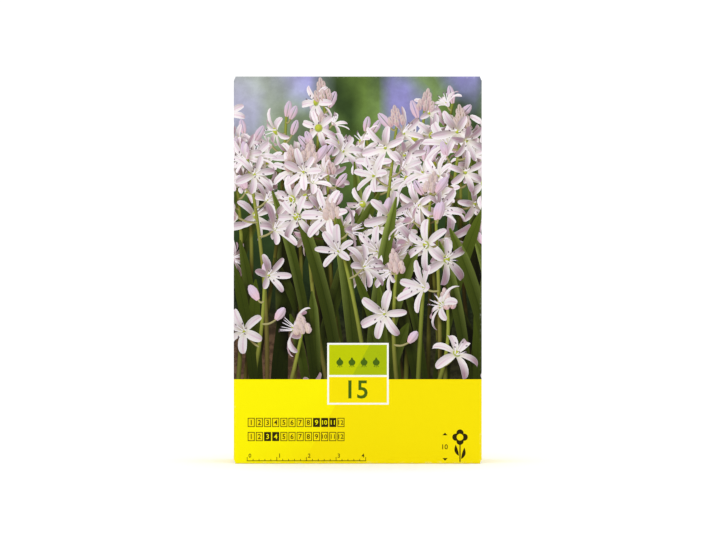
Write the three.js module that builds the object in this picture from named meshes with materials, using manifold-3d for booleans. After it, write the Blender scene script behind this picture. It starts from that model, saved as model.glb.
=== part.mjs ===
// A sealed cardboard carton of small flower bulbs, standing upright with its printed front towards -Y.
// The carton is one folded and glued blank, with round air holes in its two narrow sides.
// The bulbs lie loose inside it, in level courses on its base.
// Sizes are in millimetres. The origin is the middle of the base, +Z is up and +X is right of the front.

import * as THREE from "three";
import { mergeVertices } from "three/addons/utils/BufferGeometryUtils.js";
import Module from "manifold-3d";

// The closed carton
const PACK_WIDTH = 90;
const PACK_DEPTH = 30;
const PACK_HEIGHT = 140;
const BOARD = 0.5;
const CREASE_RADIUS = 0.8;

// End flaps: the front's flap lies outermost, the back's flap under it, and the sides' dust flaps inside
const FLAP_INSET = 0.5;
const DUST_FLAP_LENGTH = 28;
const SEAM_FLAP_WIDTH = 13;
const SEAM_FLAP_END = 6;

// Air holes, one column on each narrow side
const VENT_DIAMETER = 7;
const VENT_PITCH = 22;
const LOWEST_VENT = 37;
const VENT_COUNT = 4;

// Bulbs, in courses that lean alternately towards the front and the back
const BULB_DIAMETER = 19;
const BULB_TALLNESS = 1.22;
const BULB_SIZES = [1, 0.93, 0.97, 0.9, 0.95];
const COLUMN_COUNT = 5;
const COURSE_COUNT = 3;
const COLUMN_PITCH = 17.4;
const SIDE_STEP = 4.6;
const BULB_GAP = 0.3;
const DROP_STEP = 0.05;
const LEVELS_PER_BULB = 40;

const CURVE_FACETS = 4;
const VENT_FACETS = 24;
const BULB_FACETS = 20;
const BULB_RINGS = 16;

const wasm = await Module();
wasm.setup();

// The closed solid that a three.js geometry bounds.
function solidOf(geometry) {
  const bare = geometry.clone();
  bare.deleteAttribute("normal");
  bare.deleteAttribute("uv");
  const merged = mergeVertices(bare, 1e-4);
  return new wasm.Manifold(
    new wasm.Mesh({
      numProp: 3,
      vertProperties: merged.attributes.position.array,
      triVerts: new Uint32Array(merged.index.array),
    }),
  );
}

// The flat-shaded geometry of a solid.
function geometryOf(solid) {
  const { vertProperties, triVerts } = solid.getMesh();
  const indexed = new THREE.BufferGeometry()
    .setAttribute("position", new THREE.BufferAttribute(vertProperties, 3))
    .setIndex(new THREE.BufferAttribute(triVerts, 1));
  const flat = indexed.toNonIndexed();
  flat.computeVertexNormals();
  return flat;
}

// A box between two corners.
function block([x0, y0, z0], [x1, y1, z1]) {
  const box = new THREE.BoxGeometry(x1 - x0, y1 - y0, z1 - z0);
  return solidOf(box.translate((x0 + x1) / 2, (y0 + y1) / 2, (z0 + z1) / 2));
}

// An upright prism whose outline is the carton's, drawn in by inset, with the rounded creases.
function cartonPrism(inset, low, high) {
  const x = PACK_WIDTH / 2 - inset;
  const y = PACK_DEPTH / 2 - inset;
  const r = CREASE_RADIUS - inset;
  const outline = new THREE.Shape();
  outline.absarc(x - r, y - r, r, 0, Math.PI / 2);
  outline.absarc(r - x, y - r, r, Math.PI / 2, Math.PI);
  outline.absarc(r - x, r - y, r, Math.PI, 1.5 * Math.PI);
  outline.absarc(x - r, r - y, r, 1.5 * Math.PI, 2 * Math.PI);
  const prism = new THREE.ExtrudeGeometry(outline, {
    depth: high - low,
    bevelEnabled: false,
    curveSegments: CURVE_FACETS,
  });
  return solidOf(prism.translate(0, 0, low));
}

// The air holes through both narrow sides.
function ventHoles() {
  return Array.from({ length: VENT_COUNT }, (_, i) => {
    const hole = new THREE.CylinderGeometry(
      VENT_DIAMETER / 2,
      VENT_DIAMETER / 2,
      PACK_WIDTH + 2,
      VENT_FACETS,
    );
    return solidOf(hole.rotateZ(Math.PI / 2).translate(0, 0, LOWEST_VENT + i * VENT_PITCH));
  });
}

// What one closed end leaves free: the room inside its three layers, and the steps at their cut edges.
// The end is drawn at the top and mirrored for the base.
function endCuts(atTop) {
  const x = PACK_WIDTH / 2;
  const y = PACK_DEPTH / 2;
  const z = PACK_HEIGHT;
  const clear = 1;
  const between = x - BOARD - DUST_FLAP_LENGTH;
  const cuts = [
    block([-between, BOARD - y, z - 3 * BOARD - clear], [between, y - BOARD, z - 2 * BOARD]),
    block([x - FLAP_INSET, -y - clear, z - 2 * BOARD], [x + clear, y + clear, z + clear]),
    block([-x - clear, -y - clear, z - 2 * BOARD], [FLAP_INSET - x, y + clear, z + clear]),
    block([-x - clear, y - FLAP_INSET, z - BOARD], [x + clear, y + clear, z + clear]),
  ];
  const upright = wasm.Manifold.union(cuts);
  return atTop ? upright : upright.mirror([0, 0, 1]).translate([0, 0, PACK_HEIGHT]);
}

// The folded blank: four walls, three layers of flap at each end, and the glued seam at the left of the back.
function cartonSolid() {
  const x = PACK_WIDTH / 2;
  const y = PACK_DEPTH / 2;
  const room = cartonPrism(BOARD, 3 * BOARD, PACK_HEIGHT - 3 * BOARD);
  const seamStep = block([-x - 1, y - BOARD, -1], [FLAP_INSET - x, y + 1, PACK_HEIGHT + 1]);
  const seamFlap = block(
    [BOARD - x, y - 2 * BOARD, SEAM_FLAP_END],
    [BOARD - x + SEAM_FLAP_WIDTH, y - BOARD, PACK_HEIGHT - SEAM_FLAP_END],
  );
  const removed = wasm.Manifold.union([room, seamStep, endCuts(true), endCuts(false), ...ventHoles()]);
  return cartonPrism(0, 0, PACK_HEIGHT).subtract(removed).add(seamFlap);
}

// Half the outline of a bulb of diameter 1: root plate, round belly, drawn-out nose.
const bulbOutline = new THREE.SplineCurve([
  new THREE.Vector2(0.17, 0),
  new THREE.Vector2(0.25, 0.05),
  new THREE.Vector2(0.44, 0.24),
  new THREE.Vector2(0.5, 0.48),
  new THREE.Vector2(0.42, 0.76),
  new THREE.Vector2(0.22, 1),
  new THREE.Vector2(0.07, BULB_TALLNESS),
]);

function bulbGeometry(diameter) {
  const side = bulbOutline.getPoints(BULB_RINGS);
  const closed = [new THREE.Vector2(0, 0), ...side, new THREE.Vector2(0, BULB_TALLNESS)];
  return new THREE.LatheGeometry(closed, BULB_FACETS)
    .rotateX(Math.PI / 2)
    .scale(diameter, diameter, diameter);
}

const outlineLevels = bulbOutline.getPoints(LEVELS_PER_BULB);

// A bulb's radius at a height above the carton's base, or 0 where the bulb doesn't reach.
function radiusAt(bulb, level) {
  const share = (level - bulb.z) / bulb.diameter;
  const height = bulb.noseUp ? share : BULB_TALLNESS - share;
  const above = outlineLevels.findIndex((p) => p.y >= height);
  if (height < 0 || above < 0) return 0;
  const upper = outlineLevels[above];
  const lower = outlineLevels[Math.max(above - 1, 0)];
  const part = upper.y > lower.y ? (height - lower.y) / (upper.y - lower.y) : 1;
  return bulb.diameter * THREE.MathUtils.lerp(lower.x, upper.x, part);
}

// True if two upright bulbs come closer than the gap at any level.
function crowds(bulb, other) {
  const apart = Math.hypot(bulb.x - other.x, bulb.y - other.y) - BULB_GAP;
  const tall = bulb.diameter * BULB_TALLNESS;
  return outlineLevels.some((_, i) => {
    const level = bulb.z + (tall * i) / LEVELS_PER_BULB;
    const neighbour = radiusAt(other, level);
    return neighbour > 0 && radiusAt(bulb, level) + neighbour > apart;
  });
}

// Lowers a bulb until it meets the base or a bulb that already lies there.
// Between the dust flaps the base is two layers thick, elsewhere three.
function drop(bulb, settled) {
  const betweenFlaps = PACK_WIDTH / 2 - BOARD - DUST_FLAP_LENGTH;
  const layers = Math.abs(bulb.x) + bulb.diameter / 2 < betweenFlaps ? 2 : 3;
  const floor = layers * BOARD + BULB_GAP;
  bulb.z = PACK_HEIGHT / 2 + BULB_DIAMETER;
  while (bulb.z - DROP_STEP > floor) {
    const lowered = { ...bulb, z: bulb.z - DROP_STEP };
    if (settled.some((other) => crowds(lowered, other))) break;
    bulb.z = lowered.z;
  }
  return bulb;
}

// The courses of bulbs, each dropped into the hollows of those below.
function settleBulbs() {
  const settled = [];
  for (let course = 0; course < COURSE_COUNT; course++) {
    for (let column = 0; column < COLUMN_COUNT; column++) {
      const count = settled.length;
      const forward = (course + column) % 2 === 0 ? -1 : 1;
      const bulb = {
        x: (column - (COLUMN_COUNT - 1) / 2) * COLUMN_PITCH,
        y: forward * SIDE_STEP,
        diameter: BULB_DIAMETER * BULB_SIZES[(3 * count + course) % BULB_SIZES.length],
        noseUp: (count + course) % 3 !== 1,
      };
      settled.push(drop(bulb, settled));
    }
  }
  return settled;
}

const boardFinish = new THREE.MeshStandardMaterial({ color: 0xfae605, roughness: 0.35, metalness: 0 });
const tunicFinish = new THREE.MeshStandardMaterial({ color: 0xa87b52, roughness: 0.7, metalness: 0 });

function cartonMesh() {
  const mesh = new THREE.Mesh(geometryOf(cartonSolid()), boardFinish);
  mesh.name = "carton";
  return mesh;
}

function bulbMesh(bulb, index) {
  const mesh = new THREE.Mesh(bulbGeometry(bulb.diameter), tunicFinish);
  mesh.name = `bulb_${String(index + 1).padStart(2, "0")}`;
  const tall = bulb.diameter * BULB_TALLNESS;
  mesh.position.set(bulb.x, bulb.y, bulb.noseUp ? bulb.z : bulb.z + tall);
  mesh.rotation.x = bulb.noseUp ? 0 : Math.PI;
  return mesh;
}

const pack = new THREE.Group();
pack.add(cartonMesh());
settleBulbs().forEach((bulb, index) => pack.add(bulbMesh(bulb, index)));

export default pack;
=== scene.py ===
"""A sealed cardboard carton of small flower bulbs, upright on a white studio floor, seen square on.

The carton is one printed sheet: its artwork is laid out flat on the unfolded blank, cut into a mosaic of
inks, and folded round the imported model's walls and ends. Artwork sizes are in millimetres, where s runs
round the walls from the middle of the front and z goes up. Finished pieces are in metres.
"""

import math
import random
from collections import namedtuple

import bmesh
import bpy
import numpy as np
from mathutils import Matrix, Vector
from mathutils.geometry import delaunay_2d_cdt


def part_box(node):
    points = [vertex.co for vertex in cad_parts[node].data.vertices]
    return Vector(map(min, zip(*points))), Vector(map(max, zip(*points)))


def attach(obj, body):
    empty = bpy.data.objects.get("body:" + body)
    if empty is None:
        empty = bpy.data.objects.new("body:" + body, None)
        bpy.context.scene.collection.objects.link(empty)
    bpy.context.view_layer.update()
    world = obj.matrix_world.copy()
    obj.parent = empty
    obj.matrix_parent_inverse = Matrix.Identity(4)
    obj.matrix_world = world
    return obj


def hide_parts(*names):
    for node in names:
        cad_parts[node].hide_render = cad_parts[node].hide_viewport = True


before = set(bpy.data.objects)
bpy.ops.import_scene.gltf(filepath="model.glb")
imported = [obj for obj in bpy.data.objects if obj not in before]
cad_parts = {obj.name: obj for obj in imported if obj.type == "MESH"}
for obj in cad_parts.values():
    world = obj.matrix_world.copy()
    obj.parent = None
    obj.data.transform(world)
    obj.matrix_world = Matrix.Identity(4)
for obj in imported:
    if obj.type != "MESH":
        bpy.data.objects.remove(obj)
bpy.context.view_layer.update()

MM = 0.001

# The closed carton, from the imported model, and the thickness of a layer there and of the board here
carton_low, carton_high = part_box("carton")
WIDTH, DEPTH, HEIGHT = [round(side / MM, 3) for side in carton_high - carton_low]
HALF_WIDTH = WIDTH / 2
HALF_DEPTH = DEPTH / 2
LAYER = 0.5
BOARD = 0.45
CREASE_RADIUS = 0.8
FOLD_RADIUS = 0.6

# How far the front and back, and the sides, belly out over the bulbs
WALL_BOW = 0.3
SIDE_BOW = 0.15

# Flaps and the glued seam
FLAP_INSET = 0.5
DUST_INSET = 1.0
DUST_FLAP_LENGTH = 28
SEAM_WIDTH = 13
SEAM_END = 6

# Air holes
VENT_RADIUS = 3.5
VENT_LEVELS = [37, 59, 81, 103]
VENT_SIDES = 40

# Where the walls meet, along s and in plan
FRONT_EDGE = HALF_WIDTH
VENT_S = FRONT_EDGE + HALF_DEPTH
SIDE_EDGE = HALF_WIDTH + DEPTH
SEAM_EDGE = LAYER - SIDE_EDGE
BACK_EDGE = SIDE_EDGE + WIDTH - LAYER
CORNERS = [
    (SEAM_EDGE - SEAM_WIDTH, (SEAM_WIDTH - HALF_WIDTH, HALF_DEPTH - LAYER)),
    (SEAM_EDGE, (-HALF_WIDTH, HALF_DEPTH - LAYER)),
    (-FRONT_EDGE, (-HALF_WIDTH, -HALF_DEPTH)),
    (FRONT_EDGE, (HALF_WIDTH, -HALF_DEPTH)),
    (SIDE_EDGE, (HALF_WIDTH, HALF_DEPTH)),
    (BACK_EDGE, (LAYER - HALF_WIDTH, HALF_DEPTH)),
]
CORNER_S = np.array([s for s, _ in CORNERS])
CORNER_XY = np.array([xy for _, xy in CORNERS], float)
WALL_RUN = np.diff(CORNER_XY, axis=0) / np.diff(CORNER_S)[:, None]
WALL_OUT = np.stack([WALL_RUN[:, 1], -WALL_RUN[:, 0]], axis=1)
# How deep each wall's end flap lies in the stack: seam flap, left, front, right, back
FLAP_DEPTH = np.array([2, 2, 0, 2, 1]) * LAYER

PRINT_MAP = "print"
TINT = "tint"


def linear(*channels):
    """The scene-linear colour of a screen colour given from 0 to 255."""
    shares = np.array(channels) / 255
    return np.where(shares <= 0.04045, shares / 12.92, ((shares + 0.055) / 1.055) ** 2.4)


def mix(first, second, share):
    """A colour part of the way from one to another."""
    return first + (second - first) * share


def unit(*parts):
    """The vector of length 1 along the parts."""
    whole = np.array(parts, float)
    return whole / np.linalg.norm(whole)


def smooth(value, low, high):
    """An eased rise from 0 at low to 1 at high."""
    share = np.clip((value - low) / (high - low), 0, 1)
    return share * share * (3 - 2 * share)


def around(s, z, radius, turn):
    """The place at a turn round a centre."""
    return (s + radius * math.cos(turn), z + radius * math.sin(turn))


def turn_of(a, b, c):
    """Twice the area between three places, above 0 where the way from a to b to c turns left."""
    return (b[0] - a[0]) * (c[1] - a[1]) - (b[1] - a[1]) * (c[0] - a[0])


def placed(name, data):
    """A new object in the scene."""
    made = bpy.data.objects.new(name, data)
    bpy.context.scene.collection.objects.link(made)
    return made


# Inks, as screen colours
YELLOW_BRIGHT = linear(255, 245, 0)
YELLOW_DEEP = linear(250, 229, 2)
GREEN_BRIGHT = linear(192, 204, 3)
GREEN_DEEP = linear(170, 189, 11)
GREEN_DARK = linear(74, 104, 20)
INK_DARK = linear(48, 40, 8)
PAPER = linear(252, 252, 250)
CREAM = linear(247, 244, 226)

# The flat artwork. A point's columns are its place, its tint, its place across and along its own shape, and
# how near to the viewer it lies in the picture.

PLACE = slice(0, 2)
COLOUR = slice(2, 5)
WAY = slice(5, 7)
NEAR = 7
PICTURE_COVER = 1000
DIGIT_STEPS = 3
DIGIT_SWELL = 0.014
LEAST_AREA = 2e-3
LEAST_TURN = 1e-6

Shape = namedtuple("Shape", "corners ink rank")


class Artwork:
    """Printed shapes on the unfolded blank, each with an ink and a rank in the stack."""

    def __init__(self):
        self.points = []
        self.shapes = []

    def point(self, s, z, tint, across=0.0, along=0.0, near=0.0):
        self.points.append((s, z, *tint, across, along, near))
        return len(self.points) - 1

    def shape(self, corners, ink, rank):
        """Adds a shape, counter-clockwise. One with no area is left out, and a crossed or dented shape of
        four corners is cut in two."""
        places = [self.points[corner][PLACE] for corner in corners]
        ahead = places[1:] + places[:1]
        turns = [turn_of(a, b, c) for a, b, c in zip(places, ahead, ahead[1:] + ahead[:1])]
        if len(corners) == 4 and min(turns) <= LEAST_TURN and max(turns) >= -LEAST_TURN:
            self.shape(corners[:3], ink, rank)
            self.shape(corners[:1] + corners[2:], ink, rank)
            return
        area = sum(a[0] * b[1] - b[0] * a[1] for a, b in zip(places, ahead)) / 2
        if abs(area) >= LEAST_AREA:
            self.shapes.append(Shape(corners if area > 0 else corners[::-1], ink, rank))

    def flat(self, outline, tint, ink="flat"):
        """A shape over all that is drawn so far, in one tint or in one for each point."""
        tints = tint if isinstance(tint, list) else [tint] * len(outline)
        corners = [self.point(*place, own) for place, own in zip(outline, tints)]
        self.shape(corners, ink, PICTURE_COVER + len(self.shapes))

    def box(self, left, low, right, high, tint):
        self.flat([(left, low), (right, low), (right, high), (left, high)], tint)

    def ruled_box(self, left, low, right, high, line, edge, fill):
        """A box with a line of another tint round it."""
        self.box(left, low, right, high, edge)
        self.box(left + line, low + line, right - line, high - line, fill)

    def disc(self, s, z, radius, tint, sides=24, ink="flat"):
        self.flat([around(s, z, radius, 2 * math.pi * i / sides) for i in range(sides)], tint, ink)

    def stroke(self, first, second, width, tint):
        """A straight line between two places."""
        (s0, z0), (s1, z1) = first, second
        half = width / 2 / math.hypot(s1 - s0, z1 - z0)
        s, z = half * (z0 - z1), half * (s1 - s0)
        self.flat([(s0 - s, z0 - z), (s1 - s, z1 - z), (s1 + s, z1 + z), (s0 + s, z0 + z)], tint)

    def number(self, words, s, z, size, tint):
        """Plain digits, centred on a place, with their height in millimetres."""
        curve = bpy.data.curves.new("digits", "FONT")
        curve.body = str(words)
        curve.resolution_u = DIGIT_STEPS
        curve.offset = DIGIT_SWELL
        text = placed("digits", curve)
        bpy.context.view_layer.update()
        mesh = bpy.data.meshes.new_from_object(text)
        places = np.array([vert.co[:2] for vert in mesh.vertices])
        low, high = places.min(0), places.max(0)
        places = (places - (low + high) / 2) * (size / (high[1] - low[1])) + (s, z)
        ids = [self.point(*place, tint) for place in places]
        for face in mesh.polygons:
            self.shape([ids[i] for i in face.vertices], "flat", PICTURE_COVER + len(self.shapes))
        bpy.data.objects.remove(text)
        bpy.data.curves.remove(curve)
        bpy.data.meshes.remove(mesh)


# The picture: a drift of small star flowers, grown in a shallow space in front of the blank and pressed
# flat onto it. Places there are (s, near, z), with near towards the viewer.

SUN = unit(-0.45, 0.55, 0.70)
VIEWER = np.array([0.0, 1.0, 0.0])
UPRIGHT = np.array([0.0, 0.0, 1.0])

PETAL_LIGHT = linear(254, 248, 249)
PETAL_DUSK = linear(150, 126, 134)
PETAL_BLUSH = linear(226, 182, 200)
PETAL_FOOT = linear(218, 218, 160)
BUD_PINK = linear(224, 176, 192)
BUD_LILAC = linear(216, 198, 222)
CONE_PINK = linear(200, 138, 142)
CONE_STRAW = linear(200, 170, 136)
OVARY = linear(206, 212, 78)
OVARY_DARK = linear(118, 132, 36)
ANTHER = linear(112, 92, 104)
FILAMENT = linear(250, 244, 250)
STEM_LIGHT = linear(150, 158, 66)
STEM_WARM = linear(128, 98, 62)
LEAF_DARK = linear(15, 19, 2)
LEAF_MID = linear(61, 72, 16)
LEAF_LIGHT = linear(140, 152, 80)

# What lies out of focus behind the plants
GROUND = linear(98, 74, 56)
GROUND_SHADE = linear(26, 36, 16)
DEEP_GREEN = linear(40, 58, 28)
SPRING_GREEN = linear(136, 166, 78)
VIOLET = linear(150, 144, 206)
HAZE = linear(206, 208, 214)
BACKDROP_CELL = 5.0
BACKDROP_FOOT = 20
BACKDROP_DEPTH = -100
FARTHEST = -6.0

GARDEN_SEED = 17
GROUND_LEVEL = 22.0
LEAF_COUNT = 100
LEAF_STEPS = 12
STEM_STEPS = 12
OWN_RELIEF = 0.04
SIXTH_TURN = math.pi / 3

# The bare ground at the left of the front, and the share of its leaves that are left out
BARE_LEFT = -54
BARE_RIGHT = -18
BARE_SHARE = 0.82

# How far along a petal or bud, and its share of the full width there
PETAL_FINE = [
    (0, 0.4), (0.14, 0.6), (0.3, 0.84), (0.48, 0.98), (0.66, 1),
    (0.8, 0.92), (0.91, 0.72), (0.97, 0.48), (1, 0.2),
]
PETAL_COARSE = [(0, 0.45), (0.25, 0.8), (0.5, 1), (0.75, 0.92), (0.92, 0.64), (1, 0.24)]
BUD_SHARES = [(0, 0.42), (0.3, 0.9), (0.6, 1.0), (0.85, 0.7), (1, 0.26)]

# A stamen's head: how far out and how far along the flower's axis from the filament's tip
ANTHER_LINE = [(-0.3, 0), (-0.1, 0), (0.35, 0.15), (0.55, 0.2)]

# Rows of plants: how near, how many, lowest and highest crown, brightness, flowers on a stem
DRIFTS = [
    (0, 14, 120, 136, 0.96, 8),
    (6, 10, 106, 132, 0.98, 7),
    (12, 8, 86, 112, 1.0, 6),
    (18, 6, 66, 92, 1.02, 4),
    (24, 4, 42, 60, 1.04, 2),
]


def spoke(axes, turn):
    """The direction at a turn round a flower's axis."""
    return math.cos(turn) * axes[1] + math.sin(turn) * axes[2]


class Garden:
    """Grows the picture's plants into the artwork."""

    def __init__(self, art):
        self.art = art
        self.rng = random.Random(GARDEN_SEED)
        self.fine = True
        self.depth = 0.0

    def rank_at(self, near):
        """Each plant part lies wholly before or behind the others, at its own depth, and only its own faces
        overlap by how near they are."""
        return self.depth + OWN_RELIEF * (near - self.depth)

    def sheet(self, rows, ink):
        """Quads between rows of (place, tint, across, along)."""
        art = self.art
        ids = [[art.point(p[0], p[2], *rest, p[1]) for p, *rest in row] for row in rows]
        for lower, upper in zip(ids, ids[1:]):
            for i in range(len(lower) - 1):
                corners = [lower[i], lower[i + 1], upper[i + 1], upper[i]]
                near = sum(art.points[corner][NEAR] for corner in corners) / 4
                art.shape(corners, ink, self.rank_at(near))

    def petal(self, centre, axes, spin, length, width, opening, curl, dim):
        """One strap-shaped petal with a blunt tip: it leaves the heart at an angle to the flower's axis and
        curls back as it goes."""
        axis = axes[0]
        outward = spoke(axes, spin)
        across = np.cross(axis, outward)
        stations = PETAL_FINE if self.fine else PETAL_COARSE
        place = centre + outward * 0.5
        rows = []
        for (along, share), (ahead, _) in zip(stations, stations[1:] + stations[-1:]):
            angle = opening * (0.7 + 0.3 * along) + curl * along**1.6
            run = math.cos(angle) * axis + math.sin(angle) * outward
            face = math.sin(angle) * axis - math.cos(angle) * outward
            inside = face @ VIEWER > 0
            row = []
            for u in (-1, 0, 1):
                tilt = unit(*(face - u * 0.5 * across)) * (1 if inside else -1)
                light = 0.2 + 0.8 * max(0.0, tilt @ SUN)
                tint = mix(PETAL_DUSK, PETAL_LIGHT, smooth(light, 0.12, 0.8))
                blush = 0.3 * along * (1 - abs(u)) if inside else 0.3 + 0.3 * (1 - abs(u))
                tint = mix(tint, PETAL_BLUSH, blush)
                tint = mix(tint, PETAL_FOOT, 0.5 * smooth(1 - along, 0.6, 1.0))
                spot = place + across * u * share * width / 2 + face * abs(u) * share * width * 0.16
                row.append((spot, tint * dim, u, along))
            rows.append(row)
            place = place + run * length * (ahead - along)
        self.sheet(rows, "petal")

    def ribbon(self, path, widths, tints, ink):
        """A strip that faces the viewer along a path."""
        rows = []
        last = len(path) - 1
        for k, spot in enumerate(path):
            ahead = path[min(k + 1, last)] - path[max(k - 1, 0)]
            side = np.array([ahead[2], 0, -ahead[0]])
            side = side / max(np.linalg.norm(side), 1e-6) * widths[k] / 2
            rows.append([(spot - side, tints[k], -1, k / last), (spot + side, tints[k], 1, k / last)])
        self.sheet(rows, ink)

    def ball(self, heart, axes, radius, dim):
        """The green ovary in a flower's heart, lit from the upper left."""
        art = self.art
        rim = []
        for i in range(8):
            out = spoke(axes, i * math.pi / 4)
            light = 0.5 + 0.5 * (out @ SUN)
            spot = heart - axes[0] * radius * 0.6 + out * radius
            tint = mix(OVARY_DARK, OVARY, 0.6 * light) * dim
            rim.append(art.point(spot[0], spot[2], tint, 1, 0, spot[1]))
        bright = OVARY * (dim * 1.1)
        top = art.point(heart[0] - 0.2 * radius, heart[2] + 0.25 * radius, bright, 0, 1, heart[1])
        for first, second in zip(rim, rim[1:] + rim[:1]):
            art.shape([top, first, second], "petal", self.rank_at(heart[1] + 0.4))

    def flower(self, centre, axis, size, dim):
        """Six petals, their stamens and the ovary. A ripe flower curls further back from a larger ovary."""
        rng = self.rng
        self.depth = centre[1] + 0.5
        dim = dim * (0.84 + 0.16 * smooth(centre[2], 55, 118))
        side = unit(*np.cross(axis, UPRIGHT))
        axes = (axis, side, np.cross(side, axis))
        ripe = rng.random() < 0.22
        spin = rng.uniform(0, SIXTH_TURN)
        opening = math.radians(rng.uniform(92, 112) if ripe else rng.uniform(58, 88))
        curl = math.radians(rng.uniform(30, 60) if ripe else rng.uniform(0, 50))
        for i in range(6):
            turn = spin + i * SIXTH_TURN + rng.uniform(-0.2, 0.2)
            length = size * rng.uniform(0.86, 1.08)
            own = dim * rng.uniform(0.93, 1.03)
            width = size * rng.uniform(0.27, 0.36)
            self.petal(centre, axes, turn, length, width, opening, curl + rng.uniform(-0.3, 0.5), own)
        for i in range(6 if self.fine else 3):
            out = spoke(axes, spin + (i + 0.5) * SIXTH_TURN + rng.uniform(-0.2, 0.2))
            tip = centre + axis * size * 0.48 + out * size * 0.24
            filament = [centre + out * 0.5 + axis * 0.3, tip]
            self.ribbon(filament, [0.4, 0.24], [FILAMENT * dim] * 2, "petal")
            anther = [tip + out * reach + axis * rise for reach, rise in ANTHER_LINE]
            self.ribbon(anther, [0.16, 0.42, 0.42, 0.16], [ANTHER * dim] * 4, "petal")
        self.ball(centre + axis * (1.5 if ripe else 0.9), axes, 1.6 if ripe else 0.85, dim)

    def bud(self, foot, axis, length, width, dim, tints=(BUD_PINK, BUD_LILAC)):
        """A closed bud with a blunt tip: three petals in view, or two where it stands far back."""
        self.depth = foot[1] + 0.5
        side = unit(*np.cross(axis, VIEWER))
        for lobe in (-0.62, 0.62, 0.0) if self.fine else (-0.5, 0.5):
            reach, lift = (0.42, 0.5) if lobe else (0.54, 0.9)
            rows = []
            for along, share in BUD_SHARES:
                half = width / 2 * share
                middle = foot + axis * length * along + side * half * lobe
                row = []
                for u in (-1, 0, 1):
                    tilt = unit(*(VIEWER + side * (lobe + u * 0.8)))
                    light = 0.3 + 0.7 * max(0.0, tilt @ SUN)
                    tint = mix(PETAL_DUSK, mix(*tints, smooth(along, 0.1, 0.8)), smooth(light, 0.1, 0.75))
                    tint = mix(tint, PETAL_LIGHT, 0.4 * (1 - abs(u)))
                    spot = middle + side * u * half * reach + VIEWER * lift
                    row.append((spot, tint * dim, u * 0.6, along))
                rows.append(row)
            self.sheet(rows, "petal")

    def cone(self, foot, axis, length, dim):
        """The tight tip of a spike: small round buds in a tapering heap."""
        side = unit(*np.cross(axis, VIEWER))
        straw = self.rng.uniform(0, 1)
        tints = (mix(CONE_PINK, CONE_STRAW, straw), mix(CONE_STRAW, PETAL_LIGHT, 0.35))
        for row, count in ((4, 1), (3, 2), (2, 2), (1, 3), (0, 3)):
            for i in range(count):
                off = (i - (count - 1) / 2) * 1.9 * (1 - 0.1 * row)
                spot = foot + axis * length * row / 5.5 + side * off + VIEWER * (1.2 - 0.2 * row)
                way = unit(*(axis + side * off * 0.16))
                own = dim * self.rng.uniform(0.9, 1.02)
                self.bud(spot, way, length * 0.36, 2.3 - 0.16 * row, own, tints)

    def leaf(self, foot, lean, length, width, dim):
        """A strap leaf with a channel down its middle and a boat-shaped tip."""
        self.depth = foot[1]
        lit_side = self.rng.choice((-1, 1, 1))
        glow = self.rng.uniform(0.0, 0.75) ** 1.5
        place = np.array(foot, float)
        rows = []
        for k in range(LEAF_STEPS + 1):
            along = k / LEAF_STEPS
            angle = lean * (0.3 + 1.1 * along)
            side = np.array([math.cos(angle), 0, -math.sin(angle)])
            taper = math.sqrt(max(0.0, 1 - smooth(along, 0.78, 1.02)))
            half = width / 2 * min(1.0, 0.7 + 0.6 * along) * taper
            green = mix(LEAF_DARK, LEAF_MID, 0.2 + 0.8 * along)
            daylight = dim * (1 + 0.8 * smooth(place[2], 60, 105))
            row = []
            for u in (-1, 0, 1):
                shine = glow * smooth(along, 0.1, 0.9) * (1.0 if u == lit_side else 0.2 if u else 0.05)
                spot = place + side * u * half + VIEWER * abs(u) * half * 0.4
                row.append((spot, mix(green, LEAF_LIGHT, shine) * daylight, u, along))
            rows.append(row)
            place = place + np.array([math.sin(angle), 0.1, math.cos(angle)]) * length / LEAF_STEPS
        self.sheet(rows, "leaf")

    def plant(self, s, near, top, dim, flowers):
        """A stem with a loose spike of flowers and buds towards its top."""
        rng = self.rng
        foot = np.array([s + rng.uniform(-9, 9), near - 1.5, GROUND_LEVEL])
        crown = np.array([s + rng.uniform(-6, 6), near + 1.0, top])
        sway = rng.uniform(-3, 3)

        def stem_at(along):
            return foot + (crown - foot) * along + np.array([math.sin(math.pi * along) * sway, 0, 0])

        steps = [k / STEM_STEPS for k in range(STEM_STEPS + 1)]
        warm = rng.uniform(0, 0.9)
        tints = []
        for along in steps:
            light = dim * (0.45 + 0.55 * smooth(along, 0.05, 0.7))
            tints.append(mix(STEM_LIGHT, STEM_WARM, warm * (1 - along)) * light)
        self.depth = near
        path = [stem_at(along) for along in steps]
        self.ribbon(path, [1.7 - 0.7 * along for along in steps], tints, "stem")
        hand = rng.choice((-1, 1))
        span = min(0.8, rng.uniform(20, 27) / (top - GROUND_LEVEL))
        for i in range(flowers):
            share = i / max(flowers - 1, 1)
            at = stem_at(1 - span * (1 - share) - 0.03)
            hand = -hand
            stalk = (7.5 - 4.5 * share) * rng.uniform(0.6, 1.15)
            out = unit(hand * rng.uniform(0.4, 1.0), rng.uniform(0.0, 0.9), rng.uniform(-0.05, 0.75))
            head = at + out * stalk
            sag = [at + (head - at) * k / 5 - UPRIGHT * 0.7 * math.sin(math.pi * k / 5) for k in range(6)]
            tint = mix(STEM_LIGHT, BUD_PINK, 0.25) * dim
            self.depth = head[1] - 0.2
            self.ribbon(sag, [0.4, 0.85, 0.8, 0.75, 0.7, 0.7], [tint] * 6, "stem")
            if rng.random() < 0.14 + 0.3 * share:
                way = unit(*(out + UPRIGHT * 0.9))
                self.bud(head, way, rng.uniform(5.5, 7.5), rng.uniform(2.8, 3.5), dim)
                continue
            axis = unit(*(out * 0.8 + VIEWER * rng.uniform(-0.25, 1.2) + UPRIGHT * rng.uniform(-0.5, 0.4)))
            size = rng.uniform(6.6, 8.8) * (1 + 0.016 * max(near, 0))
            self.flower(head, axis, size, dim * rng.uniform(0.94, 1.05))
        if rng.random() < 0.5:
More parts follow.
